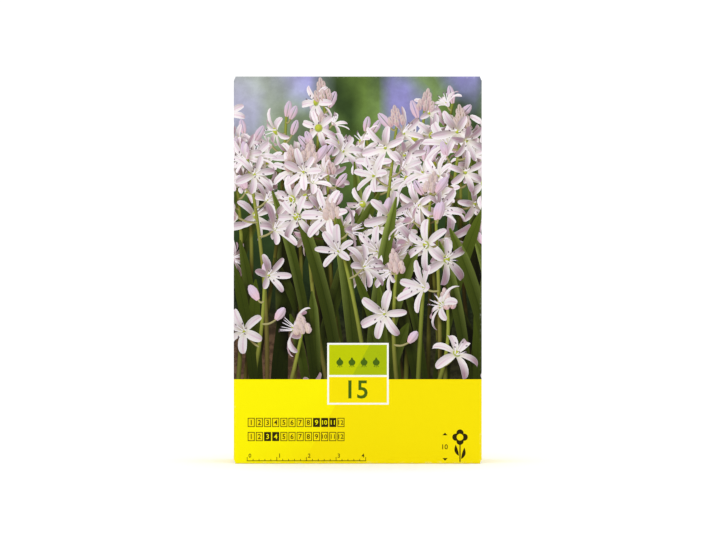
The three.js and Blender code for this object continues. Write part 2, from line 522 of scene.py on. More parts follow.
            self.cone(crown - UPRIGHT * 2, unit(hand * 0.15, 0.1, 1), rng.uniform(7, 9.5), dim)
        else:
            way = unit(hand * 0.2, 0.3, 1)
            self.bud(crown - UPRIGHT, way, rng.uniform(5.5, 7), rng.uniform(2.8, 3.4), dim)

    def leaves(self):
        """Strap leaves between the stems. Few grow from the bare ground at the left of the front."""
        rng = self.rng
        for _ in range(LEAF_COUNT):
            s = rng.uniform(-SIDE_EDGE - 4, SIDE_EDGE + 4)
            near = rng.uniform(-3, 19)
            if BARE_LEFT < s < BARE_RIGHT and rng.random() < BARE_SHARE:
                continue
            length = rng.uniform(34, 96) * (1 - 0.012 * max(near, 0))
            foot = (s, near, GROUND_LEVEL + rng.uniform(-4, 4))
            dim = (0.7 + 0.025 * near) * rng.uniform(0.8, 1.2)
            self.leaf(foot, rng.uniform(-0.42, 0.42), length, rng.uniform(2.8, 5.2), dim)

    def backdrop(self):
        """What lies behind the plants: violet and spring green above, bare soil below."""
        rows = []
        for j in range(int((HEIGHT - BACKDROP_FOOT) / BACKDROP_CELL) + 2):
            z = BACKDROP_FOOT + j * BACKDROP_CELL
            row = []
            for i in range(int(2 * SIDE_EDGE / BACKDROP_CELL) + 2):
                s = (i - 0.5) * BACKDROP_CELL - SIDE_EDGE
                bare = smooth(32 - abs(s + 44), 0, 14)
                base = mix(GROUND_SHADE, GROUND, smooth(-z, -58, -40) * max(bare, 0.15))
                base = mix(base, DEEP_GREEN, smooth(z, 52, 84))
                fresh = 0.5 + 0.5 * math.sin(s * 0.21 + 0.6 + 0.04 * z) * math.cos(s * 0.083 + z * 0.1)
                base = mix(base, SPRING_GREEN, 0.85 * smooth(z, 84, 124) * fresh)
                blue = smooth(math.sin(s * 0.16 + 1.9) * math.cos(z * 0.07 + s * 0.05), -0.15, 0.75)
                base = mix(base, VIOLET, 0.95 * smooth(z, 106, 132) * blue)
                base = mix(base, HAZE, 0.6 * smooth(-s, 5, 45) * smooth(z, 100, 136))
                row.append(((s, FARTHEST, z), base, s, z))
            rows.append(row)
        self.depth = BACKDROP_DEPTH
        self.sheet(rows, "backdrop")

    def grow(self):
        self.backdrop()
        self.leaves()
        rng = self.rng
        for near, count, lowest, highest, dim, flowers in DRIFTS:
            step = (2 * SIDE_EDGE + 8) / count
            self.fine = near > 10
            for i in range(count):
                s = -SIDE_EDGE - 4 + (i + 0.5) * step + rng.uniform(-0.35, 0.35) * step
                self.plant(s, near + rng.uniform(-2, 2), rng.uniform(lowest, highest), dim, flowers)


# The flat printing over and beside the picture

BAND_TOP = 30.5
BADGE_CENTRE = (0.1, 32.5)
BADGE_SIZE = 22.3
BADGE_BORDER = 0.65
DIAGONAL_FOOT = -20.0
DIAGONAL_RISE = 0.566
PAST_EDGE = 40
PRINT_LEFT = -40.1
PLANTING_MONTHS = (9, 11)
FLOWERING_MONTHS = (3, 4)
PLANTING_DEPTH = 13.0
PLANTING_SPACE = 17.0

SKY = linear(214, 230, 214)
SOIL = linear(120, 88, 60)
SOIL_DEEP = linear(92, 66, 46)
GUIDE_SKIN = linear(196, 150, 98)
GUIDE_LEAF = linear(92, 132, 44)
GUIDE_BLOOM = linear(232, 196, 220)
BLADE = [(0, -1), (1.3, -1), (4.2, 9), (5.6, 15), (2.4, 10)]


def diagonal_at(z):
    """Where the line between the front's two tones runs at a height."""
    return DIAGONAL_FOOT + DIAGONAL_RISE * z


def print_grounds(art):
    """A cream back, yellow ends, an unprinted seam flap, and the yellow foot of the pack, which is brighter
    left of a slanting line on the front."""
    beyond = HEIGHT + PAST_EDGE
    art.box(SIDE_EDGE, BAND_TOP, BACK_EDGE + 1, HEIGHT, CREAM)
    art.box(-SIDE_EDGE, HEIGHT + 0.5, BACK_EDGE + 1, beyond, YELLOW_DEEP)
    art.box(-SIDE_EDGE, HEIGHT - 2 * LAYER, -FRONT_EDGE, beyond, YELLOW_DEEP)
    art.box(FRONT_EDGE, HEIGHT - 2 * LAYER, SIDE_EDGE, beyond, YELLOW_DEEP)
    art.box(-BACK_EDGE, -PAST_EDGE, BACK_EDGE + PAST_EDGE, BAND_TOP, YELLOW_DEEP)
    slant = [(diagonal_at(z), z) for z in (0, BAND_TOP)]
    bright = [(-FRONT_EDGE, 0), *slant, (-FRONT_EDGE, BAND_TOP)]
    art.flat(bright, [YELLOW_BRIGHT, mix(YELLOW_DEEP, YELLOW_BRIGHT, 0.25), YELLOW_BRIGHT, YELLOW_BRIGHT])
    art.box(CORNER_S[0] - 2, -5, SEAM_EDGE - 0.3, HEIGHT + 5, PAPER)


def print_two_tone(art, left, low, right, high, foot):
    """A green field, deeper right of a slanting line that starts from its foot."""
    art.box(left, low, right, high, GREEN_BRIGHT)
    tip = foot + DIAGONAL_RISE * (high - low)
    art.flat([(foot, low), (right, low), (right, high), (tip, high)], GREEN_DEEP)


def print_bulb_mark(art, s, z, radius, tint):
    """A small bulb: round shoulders, a short narrow neck and three roots."""
    half = []
    for k in range(15):
        turn = math.pi * (k / 14 - 0.5)
        neck = smooth(k, 9, 14)
        half.append((math.cos(turn) * (1 - neck) + 0.2 * neck, 0.9 * math.sin(turn) + 0.5 * neck**2))
    mirrored = [(-x, y) for x, y in half[::-1] if x > 1e-6]
    art.flat([(s + radius * x, z + radius * y) for x, y in half + mirrored], tint)
    for lean in (-0.45, 0, 0.45):
        foot = (s + radius * lean * 0.6, z - radius * 0.7)
        tip = (s + radius * lean * 1.5, z - radius * (1.45 - 0.25 * abs(lean)))
        art.stroke(foot, tip, 0.2 * radius, tint)


def print_badge(art):
    """A square tile with a two-tone green top over yellow, holding the number of bulbs in the pack."""
    s, z = BADGE_CENTRE
    outer = BADGE_SIZE / 2
    inner = outer - BADGE_BORDER
    split = z - 0.8
    art.ruled_box(s - outer, z - outer, s + outer, z + outer, BADGE_BORDER, PAPER, YELLOW_DEEP)
    print_two_tone(art, s - inner, split, s + inner, z + inner, diagonal_at(split))
    art.box(s - inner, split - 0.35, s + inner, split + 0.35, PAPER)
    art.number(15, s, z - 5.7, 6.6, GREEN_DARK)
    for place in (-6.6, -2.2, 2.2, 6.6):
        print_bulb_mark(art, s + place, split + 4.9, 1.25, GREEN_DARK)


def print_months(art, left, middles, width, height):
    """Two rows of twelve numbered boxes: when to plant, and when the plant flowers. The months in use are
    filled, and the others only ruled."""
    pitch = width / 12
    half = pitch * 0.43
    for middle, (first, last) in zip(middles, (PLANTING_MONTHS, FLOWERING_MONTHS)):
        low, high = middle - height / 2, middle + height / 2
        for month in range(1, 13):
            s = left + (month - 0.5) * pitch
            fill, ink = (INK_DARK, YELLOW_BRIGHT) if first <= month <= last else (YELLOW_DEEP, INK_DARK)
            art.ruled_box(s - half, low, s + half, high, 0.26, INK_DARK, fill)
            art.number(month, s, middle, height * (0.56 if month < 10 else 0.5), ink)


def print_ruler(art, left, low, width, marks):
    """A short ruler: ticks along a line, with a plain number at each long tick."""
    art.box(left, low, left + width, low + 0.25, INK_DARK)
    pitch = width / marks
    for tick in range(marks * 5 + 1):
        s = left + tick * pitch / 5
        art.box(s - 0.11, low, s + 0.11, low + (0.8 if tick % 5 else 1.5), INK_DARK)
    for mark in range(marks + 1):
        shift = 1.0 if mark < marks else -1.0
        art.number(mark, left + mark * pitch + shift, low + 2.0, 1.5, INK_DARK)


def print_height_sign(art, s, low, scale, tint):
    """The common sign for a plant's height: a flower on its stem between two arrow heads, and a number."""
    head = low + 9.2 * scale
    for i in range(4):
        art.disc(*around(s, head, 1.55 * scale, i * math.pi / 2), 1.35 * scale, tint)
    art.disc(s, head, 1.25 * scale, YELLOW_DEEP)
    art.box(s - 0.22 * scale, low, s + 0.22 * scale, head - 2.4 * scale, tint)
    for hand, foot, tip in ((-1, 2.2, 6.5), (1, 1.0, 5.4)):
        outline = []
        for swell, way in ((1.1, range(10)), (-0.25, range(8, 0, -1))):
            for along in [k / 9 for k in way]:
                off = 0.45 + 1.15 * along + swell * math.sin(math.pi * along**0.8)
                outline.append((s + hand * off * scale, low + (foot + (tip - foot) * along) * scale))
        art.flat(outline, tint)
    middle = s - 5.6 * scale
    for foot, tip in ((9.9, 10.9), (1.4, 0.4)):
        ends = [(middle + side * scale, low + foot * scale) for side in (-0.95, 0.95)]
        art.flat(ends + [(middle, low + tip * scale)], tint)
    art.number(10, middle, low + 5.6 * scale, 1.9 * scale, tint)


def print_front(art):
    print_badge(art)
    print_months(art, PRINT_LEFT, (14.9, 9.8), 35.5, 3.3)
    print_ruler(art, PRINT_LEFT, 0.9, 43.0, 4)
    print_height_sign(art, 37.1, 0.65, 0.97, INK_DARK)


def print_sun(art, s, z, radius, tint):
    """A sun with twelve rays, half of its disc bright."""
    art.disc(s, z, radius, tint)
    for i in range(12):
        inner, outer = [around(s, z, reach * radius, i * math.pi / 6) for reach in (1.35, 1.8)]
        art.stroke(inner, outer, 0.22 * radius, tint)
    turns = np.linspace(-math.pi / 2, math.pi / 2, 15)
    art.flat([around(s, z, radius, turn) for turn in turns], YELLOW_BRIGHT)


def print_arrow(art, first, second, tint):
    """A measuring arrow with a head at both ends."""
    first, second = np.array(first), np.array(second)
    run = unit(*(second - first))
    side = np.array([-run[1], run[0]])
    art.stroke(first + run, second - run, 0.35, tint)
    for tip, way in ((first, run), (second, -run)):
        base = tip + way * 1.9
        art.flat([tip, base - side * 0.85, base + side * 0.85], tint)


def print_guide_plant(art, s, ground, depth):
    """A plant in flower over its bulb, cut open and rooted in the soil."""
    for k in range(-2, 3):
        turn = k * 0.35 - math.pi / 2
        tip = (s + 5.2 * math.cos(turn), depth + 5.4 * math.sin(turn))
        art.stroke((s + 1.2 * math.cos(turn), depth - 1.5), tip, 0.28, CREAM)
    art.stroke((s, depth), (s, ground + 20), 0.9, GUIDE_LEAF)
    print_bulb_mark(art, s, depth, 3.1, GUIDE_SKIN)
    print_bulb_mark(art, s, depth, 1.9, mix(GUIDE_SKIN, CREAM, 0.5))
    for hand in (-1, 1):
        art.flat([(s + hand * x, ground + z) for x, z in BLADE], GUIDE_LEAF)
    for k in range(6):
        bloom = mix(GUIDE_BLOOM, PAPER, 0.3 * (k % 2))
        art.disc(*around(s, ground + 21, 3.0, (k + 0.5) * SIXTH_TURN), 1.5, bloom, 14)
    art.disc(s, ground + 21, 1.6, YELLOW_DEEP)


def print_planting_guide(art, left, right, low, high):
    """How deep and how far apart the bulbs go: a cut through the soil with three plants over it."""
    ground = low + (high - low) * 0.46
    depth = ground - PLANTING_DEPTH
    middle = (left + right) / 2
    next_one = middle + PLANTING_SPACE
    art.box(left, low, right, high, SKY)
    soil = [(left, low), (right, low), (right, ground), (left, ground)]
    art.flat(soil, [SOIL_DEEP, SOIL_DEEP, SOIL, SOIL])
    rng = random.Random(5)
    for _ in range(60):
        place = (rng.uniform(left + 1, right - 1), rng.uniform(low + 1, ground - 1))
        art.disc(*place, rng.uniform(0.2, 0.55), mix(SOIL, SOIL_DEEP, rng.uniform(-0.7, 1.2)), 7)
    for s in (middle - PLANTING_SPACE, middle, next_one):
        print_guide_plant(art, s, ground, depth)
    print_arrow(art, (left + 5, depth - 3.0), (left + 5, ground), PAPER)
    art.number(8, left + 8.6, (depth + ground) / 2 - 1, 3.2, PAPER)
    print_arrow(art, (middle, depth - 8.6), (next_one, depth - 8.6), PAPER)
    art.number(5, (middle + next_one) / 2, depth - 5.4, 3.2, PAPER)


def print_back(art):
    """A planting guide, growing signs and the months, and no words."""
    left = SIDE_EDGE
    right = BACK_EDGE
    middle = (left + right) / 2
    print_two_tone(art, left, HEIGHT - 12, right + 1, HEIGHT, middle - 6)
    for i in range(9):
        print_bulb_mark(art, left + 9 + i * 8.95, HEIGHT - 6.6, 1.7, GREEN_DARK)
    print_planting_guide(art, left + 6, right - 6, 62, 122)
    sun, tall, apart = middle - 28, middle, middle + 28
    for s in (sun, tall, apart):
        art.ruled_box(s - 10.5, 36, s + 10.5, 57, 0.6, GREEN_DEEP, YELLOW_DEEP)
    print_sun(art, sun, 46.5, 4.2, GREEN_DARK)
    print_height_sign(art, tall + 2.4, 40.4, 1.12, GREEN_DARK)
    for s in (apart - 4.6, apart + 4.6):
        print_bulb_mark(art, s, 45.2, 2.5, GREEN_DARK)
    print_arrow(art, (apart - 4.6, 40.4), (apart + 4.6, 40.4), GREEN_DARK)
    art.number(5, apart, 52.0, 3.0, GREEN_DARK)
    print_months(art, left + 7, (21.5, 13.5), WIDTH - 15, 4.6)
    print_ruler(art, left + 7, 3.0, WIDTH - 15, 7)


def print_top(art):
    """The number of bulbs, on the outer flap of the top."""
    middle = HEIGHT + DEPTH / 2
    art.ruled_box(-32, middle - 6.5, 32, middle + 6.5, 0.6, GREEN_DEEP, YELLOW_BRIGHT)
    for i in range(5):
        for hand in (-1, 1):
            print_bulb_mark(art, hand * (9.5 + i * 4.8), middle - 0.6, 1.6, GREEN_DARK)
    art.number(15, 0, middle, 6.4, GREEN_DARK)


def cut_vents(art):
    """The air holes, which are cut out of both narrow walls."""
    for side in (-1, 1):
        for level in VENT_LEVELS:
            art.disc(side * VENT_S, level, VENT_RADIUS, PAPER, VENT_SIDES, "hole")


# The folding of the blank


def blank_outline():
    """The cut edge of the unfolded blank, counter-clockwise."""
    # each flap: where it starts and ends, its fold, its length and how far its corners are cut off
    flaps = [
        (SEAM_EDGE + DUST_INSET, -FRONT_EDGE - DUST_INSET, HEIGHT - 2 * LAYER, DUST_FLAP_LENGTH, 4),
        (-FRONT_EDGE + FLAP_INSET, FRONT_EDGE - FLAP_INSET, HEIGHT, DEPTH - 0.6, 0.6),
        (FRONT_EDGE + DUST_INSET, SIDE_EDGE - DUST_INSET, HEIGHT - 2 * LAYER, DUST_FLAP_LENGTH, 4),
        (SIDE_EDGE + 0.6, BACK_EDGE - 0.6, HEIGHT - LAYER, DEPTH - 1.0, 2),
    ]
    top = [(SEAM_EDGE, flaps[0][2] - FOLD_RADIUS)]
    for start, end, fold_line, length, cut in flaps:
        root = fold_line - FOLD_RADIUS
        tip = fold_line + length
        top += [(start, root), (start, tip - cut), (start + cut, tip)]
        top += [(end - cut, tip), (end, tip - cut), (end, root)]
    top.append((BACK_EDGE, flaps[-1][2] - FOLD_RADIUS))
    foot = [(s, HEIGHT - z) for s, z in top]
    seam = [(SEAM_EDGE, SEAM_END), (SEAM_EDGE - SEAM_WIDTH, SEAM_END + 4)]
    return seam[::-1] + foot + top[::-1] + [(s, HEIGHT - z) for s, z in seam]


def fold(s, z, inset):
    """Where places on the blank lie on the folded carton, at a depth below its outer face."""
    wall = np.clip(np.searchsorted(CORNER_S, s, side="right") - 1, 0, len(CORNERS) - 2)
    out = WALL_OUT[wall]
    plan = CORNER_XY[wall] + WALL_RUN[wall] * (s - CORNER_S[wall])[:, None] - out * inset
    for corner in range(1, len(CORNERS) - 1):
        share = (s - CORNER_S[corner] + CREASE_RADIUS) / (2 * CREASE_RADIUS)
        bent = (share > 0) & (share < 1)
        turn = share[bent, None] * math.pi / 2
        before, after = WALL_OUT[corner - 1 : corner + 1]
        centre = CORNER_XY[corner] - CREASE_RADIUS * (before + after)
        plan[bent] = centre + (CREASE_RADIUS - inset) * (np.cos(turn) * before + np.sin(turn) * after)
    upper = z > HEIGHT / 2
    rise = np.where(upper, z, HEIGHT - z)
    root = HEIGHT - FLAP_DEPTH[wall] - FOLD_RADIUS
    turn = np.clip((rise - root) / (2 * FOLD_RADIUS), 0, 1) * math.pi / 2
    inward = (FOLD_RADIUS - inset) * (1 - np.cos(turn)) + np.maximum(rise - root - 2 * FOLD_RADIUS, 0)
    height = np.where(turn > 0, root + (FOLD_RADIUS - inset) * np.sin(turn), rise)
    plan = plan - out * inward[:, None]
    return bow(*plan.T, np.where(upper, height, HEIGHT - height))


def bow(x, y, z):
    """The walls belly out a little over the bulbs, so the carton is a touch slimmer at its edges."""
    offs = (2 * z / HEIGHT - 1, x / HALF_WIDTH, y / HALF_DEPTH)
    level, across, deep = [np.clip(1 - off**2, 0, 1) for off in offs]
    x = x * (1 - SIDE_BOW / HALF_WIDTH * (1 - level * deep))
    y = y * (1 - WALL_BOW / HALF_DEPTH * (1 - level * across))
    return np.column_stack([x, y, z])


# The mosaic: the artwork cut into faces that each carry one ink

CELL = 0.2
NEAR_BLUR = 1.1
WIDE_BLUR = 4.5
# The light that the picture's hollows lose, in blossom and elsewhere, to what lies close by and further off.
# Shade in the picture is warm.
CLOSE_LOSS = (0.52, 0.66)
WIDE_LOSS = (0.3, 0.7)
SHADE_POWER = np.array([0.94, 1.08, 1.3])
GRID = 7.5
LEVEL_GRID = 9.5
CREASE_STEPS = 4
FOLD_STEPS = 3
BLEED = 34
SAME_PLACE = 1e-3
CUT_EXACTNESS = 1e-5
STRAIGHT = -0.99999


def blurred(field, radius):
    """A field smoothed over a radius in millimetres."""
    reach = max(1, round(radius / CELL))
    for axis in (0, 1, 0, 1):
        field = sum(np.roll(field, shift, axis) for shift in range(-reach, reach + 1)) / (2 * reach + 1)
    return field


class Relief:
    """Which shapes of the stack show, and how near the picture lies at each place: both found on a fine grid
    that is painted from back to front."""

    def __init__(self, points, stack):
        self.low = np.array([CORNER_S[0] - 2, -BLEED - 2])
        high = np.array([BACK_EDGE + 2, HEIGHT + BLEED + 2])
        self.limit = np.ceil((high - self.low) / CELL).astype(int)
        owner = np.full(self.limit, -1)
        near = np.full(self.limit, FARTHEST)
        missed = []
        for index, shape in enumerate(stack):
            corners = points[shape.corners]
            flat = corners[:, PLACE]
            first = np.floor((flat.min(0) - self.low) / CELL).astype(int).clip(0)
            last = np.ceil((flat.max(0) - self.low) / CELL).astype(int).clip(0, self.limit)
            if (last <= first).any():
                continue
            s, z = [self.low[i] + (np.arange(first[i], last[i]) + 0.5) * CELL for i in (0, 1)]
            inside = np.ones((len(s), len(z)), bool)
            for a, b in zip(flat, np.roll(flat, -1, 0)):
                inside &= turn_of(a, b, (s[:, None], z[None, :])) >= 0
            if not inside.any():
                missed.append(index)
                continue
            window = np.s_[first[0] : last[0], first[1] : last[1]]
            owner[window][inside] = index
            near[window][inside] = corners[:, NEAR].mean()
        always = [shape.rank >= PICTURE_COVER or shape.ink == "backdrop" for shape in stack]
        self.seen = np.isin(np.arange(len(stack)), owner) | always
        for index in missed:
            spot = self.cell(points[stack[index].corners, PLACE].mean(0)[None])
            self.seen[index] |= owner[spot][0] <= index
        self.close = blurred(near, NEAR_BLUR)
        self.wide = blurred(near, WIDE_BLUR)

    def cell(self, places):
        """The grid cells of places on the blank."""
        found = np.floor((places - self.low) / CELL).astype(int)
        return tuple(np.clip(found, 0, self.limit - 1).T)

    def shade(self, places, near, blossom):
        """How much light reaches places that lie behind their surroundings. Blossom lets more through."""
        cells = self.cell(places)
        tight = np.where(blossom, *CLOSE_LOSS) * smooth(self.close[cells] - near, 0.1, 4.5)
        broad = np.where(blossom, *WIDE_LOSS) * smooth(self.wide[cells] - near, 1.0, 14.0)
        return (1 - tight) * (1 - broad)


def guide_lines():
    """Lines that every face keeps to, so that creases, folds and the walls' slight belly come out smooth:
    where the upright ones stand, where the level ones lie, and the short ones along the flaps' folds."""
    steps = np.arange(-CREASE_STEPS, CREASE_STEPS + 1) * CREASE_RADIUS / CREASE_STEPS
    upright = {corner + step for corner in CORNER_S[1:-1] for step in steps} | {-VENT_S, VENT_S}
    between = np.arange(math.ceil((CORNER_S[0] - 1) / GRID), math.floor((BACK_EDGE + 1) / GRID) + 1) * GRID
    upright |= {s for s in between if np.abs(s - CORNER_S).min() > 2}
    level = set(VENT_LEVELS) | set(np.arange(8.0, HEIGHT - 6, LEVEL_GRID))
    folds = []
    for wall in range(1, len(CORNERS) - 1):
        for k in range(-FOLD_STEPS, FOLD_STEPS + 1):
            z = HEIGHT - FLAP_DEPTH[wall] + FOLD_RADIUS * k / FOLD_STEPS
            folds += [((CORNER_S[wall], height), (CORNER_S[wall + 1], height)) for height in (z, HEIGHT - z)]
    return sorted(upright), sorted(level), folds


class Mosaic:
    """The flat blank's printed face as triangles, each with its ink, and the values at their corners."""

    def __init__(self, art):
        points = np.array(art.points)
        stack = sorted(art.shapes, key=lambda shape: shape.rank)
        relief = Relief(points, stack)
        kept = [shape for shape, seen in zip(stack, relief.seen) if seen]
        outlines = [blank_outline()] + [points[shape.corners, PLACE].tolist() for shape in kept]
        spots, faces, owners = self.cut(points, kept, outlines[0])
        tops = []
        for face, names in zip(faces, owners):
            middle = sum((spots[corner] for corner in face), Vector((0, 0))) / len(face)
            tops.append(self.top_at(*middle, names, outlines))
        tops = np.array(tops)
        inks = np.array(["paper"] + [shape.ink for shape in kept])
        shown = (tops >= 0) & (inks[tops] != "hole")
        self.triangles = np.array([face[:3] for face in faces])[shown]
        self.tops = tops[shown]
        self.inks = inks[self.tops]
        self.spots = np.array([tuple(spot) for spot in spots])
        self.fill(points, kept, relief)

    @staticmethod
    def cut(points, kept, outline):
        """Triangles over the outline, the kept shapes and the guide lines, with the shapes over each."""
        used = sorted({corner for shape in kept for corner in shape.corners})
        number = {corner: len(outline) + i for i, corner in enumerate(used)}
        places = list(outline) + points[used, PLACE].tolist()
        faces = [list(range(len(outline)))]
        faces += [[number[corner] for corner in shape.corners] for shape in kept]
        upright, level, folds = guide_lines()
        lines = [((s, -BLEED), (s, HEIGHT + BLEED)) for s in upright]
        lines += [((CORNER_S[0] - 1, z), (BACK_EDGE + 1, z)) for z in level] + folds
        edges = [(len(places) + 2 * i, len(places) + 2 * i + 1) for i in range(len(lines))]
        places += [end for line in lines for end in line]
        places = [Vector(place) for place in places]
        spots, _, cut, _, _, owners = delaunay_2d_cdt(places, edges, faces, 1, CUT_EXACTNESS, True)
        return spots, cut, owners

    @staticmethod
    def top_at(s, z, names, outlines):
        """The highest shape over a place, or -1 off the blank. The cutter can spread a thin shape too far,
        so each one counts only where its outline goes round the place."""
        if 0 not in names:
            return -1
        for name in sorted(names, reverse=True):
            outline = outlines[name]
            crossings = 0
            for (s0, z0), (s1, z1) in zip(outline, outline[1:] + outline[:1]):
                if (z0 > z) != (z1 > z) and s < s0 + (s1 - s0) * (z - z0) / (z1 - z0):
                    crossings += 1
            if crossings % 2:
                return name
        return 0

    def fill(self, points, kept, relief):
        """The tint, and the places across and along the shape, at each triangle's corners."""
        quads = np.array([[0] * 4] + [(shape.corners + shape.corners[-1:])[:4] for shape in kept])
        sides = np.array([0] + [len(shape.corners) for shape in kept])
        top = np.repeat(self.tops, 3)
        place = self.spots[self.triangles].reshape(-1, 2)
        halves = [quads[top][:, [0, i, i + 1]] for i in (1, 2)]
        shares = [self.weights(points, half, place) for half in halves]
        beyond = ((shares[0].min(1) < -1e-4) & (sides[top] == 4))[:, None]
        share = np.clip(np.where(beyond, shares[1], shares[0]), -0.05, 1.05)
        share[sides[top] > 4] = (1, 0, 0)
        found = (points[np.where(beyond, halves[1], halves[0])] * share[:, :, None]).sum(1)
        inks = np.repeat(self.inks, 3)
        shade = relief.shade(place, found[:, NEAR], inks == "petal")
        shade[np.isin(inks, ["flat", "backdrop"])] = 1
        self.tint = np.clip(found[:, COLOUR] * shade[:, None] ** SHADE_POWER, 0, 1)
        self.tint[top == 0] = PAPER
        self.way = found[:, WAY]

    @staticmethod
    def weights(points, corners, place):
        """The share that each corner of a triangle has at a place."""
        a, b, c = (points[corners[:, i], PLACE].T for i in range(3))
        whole = turn_of(a, b, c)
        whole = np.where(np.abs(whole) < 1e-12, 1e-12, whole)
        second = turn_of(a, place.T, c) / whole
        third = turn_of(a, b, place.T) / whole
        return np.column_stack([1 - second - third, second, third])


INKS = ["paper", "flat", "backdrop", "petal", "leaf", "stem"]
INSIDE_SLOT = len(INKS)
CORE_SLOT = len(INKS) + 1


def printed_face(mosaic):
    """The outer face of the blank, still flat, with its inks, tints and places along the shapes."""
    mesh = bpy.data.meshes.new("printed_face")
    used, corners = np.unique(mosaic.triangles, return_inverse=True)
    spots = np.column_stack([mosaic.spots[used], np.zeros(len(used))])
    mesh.from_pydata(spots, [], corners.reshape(-1, 3))
    mesh.polygons.foreach_set("material_index", [INKS.index(ink) for ink in mosaic.inks])
    top = mesh.attributes.new("top", "INT", "FACE")
    top.data.foreach_set("value", mosaic.tops.astype(np.int32))
    tint = mesh.attributes.new(TINT, "FLOAT_COLOR", "CORNER")
    tint.data.foreach_set("color", np.column_stack([mosaic.tint, np.ones(len(mosaic.tint))]).ravel())
    places = mesh.uv_layers.new(name=PRINT_MAP, do_init=False)
    places.uv.foreach_set("vector", mosaic.way.ravel())
    return mesh


def merge_flat(mesh, by_shape):
    """Dissolves the edges off the guide lines: all of them, or only those inside a shape."""
    shape = bmesh.new()
    shape.from_mesh(mesh)
    top = shape.faces.layers.int["top"]
    upright, level, folds = guide_lines()
    guides = [np.array(upright), np.array(level + [first[1] for first, _ in folds])]

    def guided(edge):
        for axis, lines in enumerate(guides):
            first, second = (vert.co[axis] for vert in edge.verts)
            if abs(first - second) < SAME_PLACE and np.abs(lines - first).min() < SAME_PLACE:
                return True
        return False

    spare = []
    for edge in shape.edges:
        if len(edge.link_faces) == 2 and not guided(edge):
            one, other = edge.link_faces
            if not by_shape or one[top] == other[top]:
                spare.append(edge)
    bmesh.ops.dissolve_edges(shape, edges=spare, use_verts=False, use_face_split=False)
    loose = []
    for vert in shape.verts:
        if len(vert.link_edges) == 2 and not vert.is_boundary:
            one, other = (edge.other_vert(vert).co - vert.co for edge in vert.link_edges)
            if one.normalized().dot(other.normalized()) < STRAIGHT:
                loose.append(vert)
    bmesh.ops.dissolve_verts(shape, verts=loose)
    shape.to_mesh(mesh)
    shape.free()
    mesh.update()


def folded_board(mosaic):
    """The carton as one closed sheet: printed outside, bare inside, with its core at every cut edge."""
    face = printed_face(mosaic)
    lining = face.copy()
    merge_flat(face, True)
    merge_flat(lining, False)
    board = bmesh.new()
    board.from_mesh(face)
    outer = list(board.verts)
    board.from_mesh(lining)
    board.verts.ensure_lookup_table()
    inner = board.verts[len(outer) :]
    partner = dict(zip([v for v in outer if v.is_boundary], [v for v in inner if v.is_boundary]))
    outer = set(outer)
    rim = [edge.link_loops[0] for edge in board.edges if edge.is_boundary and edge.verts[0] in outer]
    rim = [(loop.vert, loop.link_loop_next.vert) for loop in rim]
    for part in board.faces:
        part.smooth = True
        if part.verts[0] not in outer:
            part.material_index = INSIDE_SLOT
            part.normal_flip()
    for first, second in rim:
        wall = board.faces.new([second, first, partner[first], partner[second]])
        wall.material_index = CORE_SLOT
        wall.smooth = True
    lay_out_for_baking(board, outer)
    for inset, verts in ((0.0, outer), (BOARD, [v for v in board.verts if v not in outer])):
        verts = list(verts)
        s, z = np.array([v.co[:2] for v in verts]).T
        for vert, spot in zip(verts, fold(s, z, inset) * MM):
            vert.co = spot
    for edge in board.edges:
        slots = {part.material_index for part in edge.link_faces}
        edge.smooth = max(slots) < INSIDE_SLOT or slots == {INSIDE_SLOT}
    mesh = bpy.data.meshes.new("carton_board")
    board.to_mesh(mesh)
    board.free()
    mesh.attributes.remove(mesh.attributes["top"])
    bpy.data.meshes.remove(face)
    bpy.data.meshes.remove(lining)
    return mesh


# The baked picture's layout: places on the blank, and where they lie across and up it
BAKE_S = [CORNER_S[0] - 2, SEAM_EDGE, -FRONT_EDGE, FRONT_EDGE, SIDE_EDGE, BACK_EDGE + 2]
BAKE_ACROSS = [0, 0.02, 0.12, 0.57, 0.67, 1]
BAKE_Z = [-BLEED, 0, HEIGHT, HEIGHT + BLEED]
BAKE_UP = [0.14, 0.2, 0.92, 0.98]
BAKE_INSIDE_TOP = 0.12
BAKE_INSIDE_UP = [BAKE_INSIDE_TOP * (z + BLEED) / (HEIGHT + 2 * BLEED) for z in BAKE_Z]
BAKE_RIM_LOW = 0.984
BAKE_RIM_COLUMNS = 80
BAKE_RIM_ROW = 0.001


def lay_out_for_baking(board, outer):
    """Lays the flat blank out above its bare side, and the cut edges in a strip along the top."""
    bake = board.loops.layers.uv.new("OFBake")
    for number, part in enumerate(part for part in board.faces if part.material_index == CORE_SLOT):
        row, column = divmod(number, BAKE_RIM_COLUMNS)
        for loop, (u, v) in zip(part.loops, ((0.15, 0.15), (0.85, 0.15), (0.85, 0.85), (0.15, 0.85))):
            loop[bake].uv = ((column + u) / BAKE_RIM_COLUMNS, BAKE_RIM_LOW + (row + v) * BAKE_RIM_ROW)
    for part in board.faces:
        if part.material_index == CORE_SLOT:
            continue
        heights = BAKE_UP if part.verts[0] in outer else BAKE_INSIDE_UP
        for loop in part.loops:
            s, z = loop.vert.co[:2]
            loop[bake].uv = (np.interp(s, BAKE_S, BAKE_ACROSS), np.interp(z, BAKE_Z, heights))


# Finishes. A finish that several materials share is a node group, placed with each material's own values.

INK_STRENGTH = 0.86
PRINT_GRAIN = 5200.0
BOARD_FIBRE = 2600.0
TUNIC_STREAK = 1400.0


